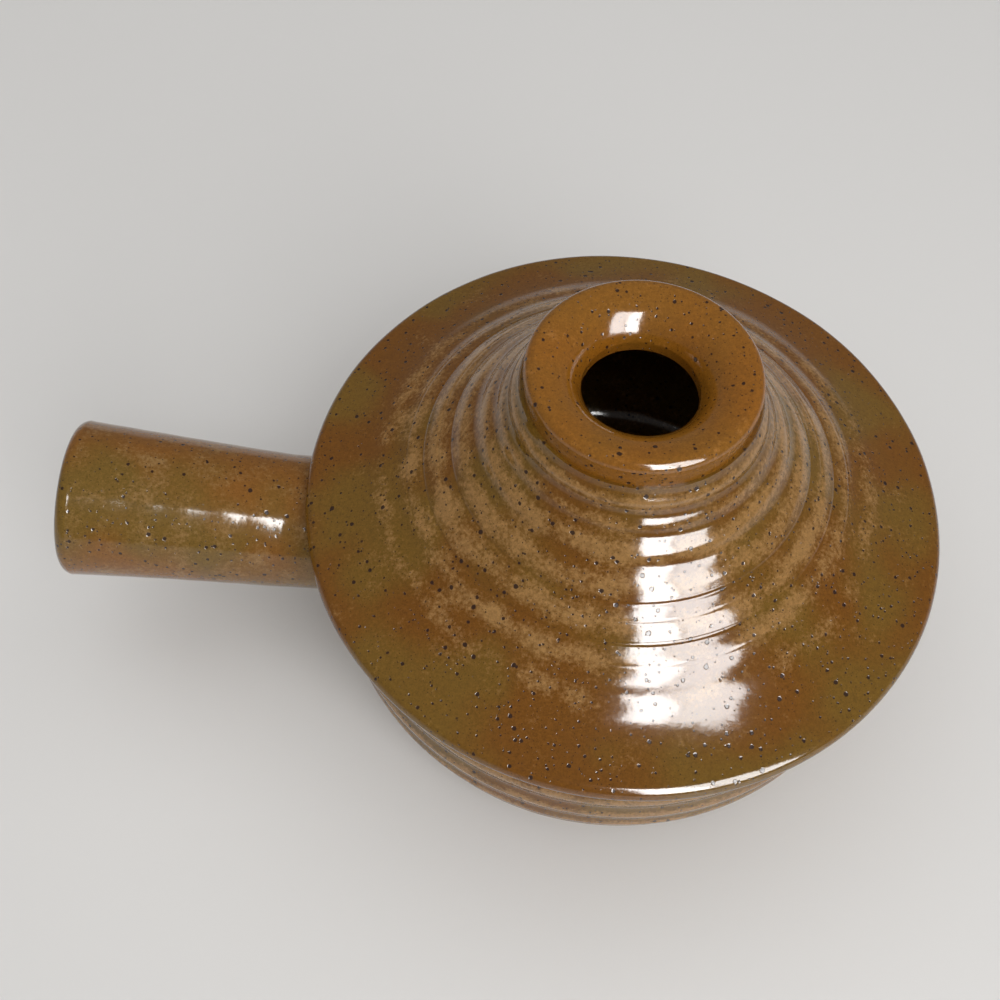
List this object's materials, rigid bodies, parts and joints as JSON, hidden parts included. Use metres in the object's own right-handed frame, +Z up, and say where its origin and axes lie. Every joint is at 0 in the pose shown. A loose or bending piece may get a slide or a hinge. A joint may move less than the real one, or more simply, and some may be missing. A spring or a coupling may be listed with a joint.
{
  "type": "lidded soup crock",
  "caption": "Round stoneware soup crock with a hollow side handle and a lift-off conical lid whose dished, pierced knob lets steam out.",
  "frame": {"origin": "centre of the foot ring, on the surface that the crock stands on", "axes": "+Z up along the crock's axis, -X along the handle, so the crock mirrors across the XZ plane"},
  "size_m": [0.2035, 0.144, 0.1017],
  "materials": {
    "crock_glaze": "glossy speckled brown glaze",
    "handle_glaze": "glossy speckled olive-brown glaze",
    "lid_glaze": "glossy speckled brown glaze, lighter on the ridges",
    "knob_glaze": "glossy speckled amber glaze",
    "bare_clay": "matt unglazed stoneware"
  },
  "bodies": {
    "crock": {"crock_bowl": "crock_glaze", "handle_tube": "handle_glaze"},
    "lid": {"lid_cone": "lid_glaze", "lid_knob": "knob_glaze", "lid_locating_ring": "bare_clay"}
  },
  "joints": [
    {"name": "lid_lift", "type": "slide", "parent": "crock", "child": "lid", "axis": [0, 0, 1], "range_m": [0, 0.08]}
  ]
}
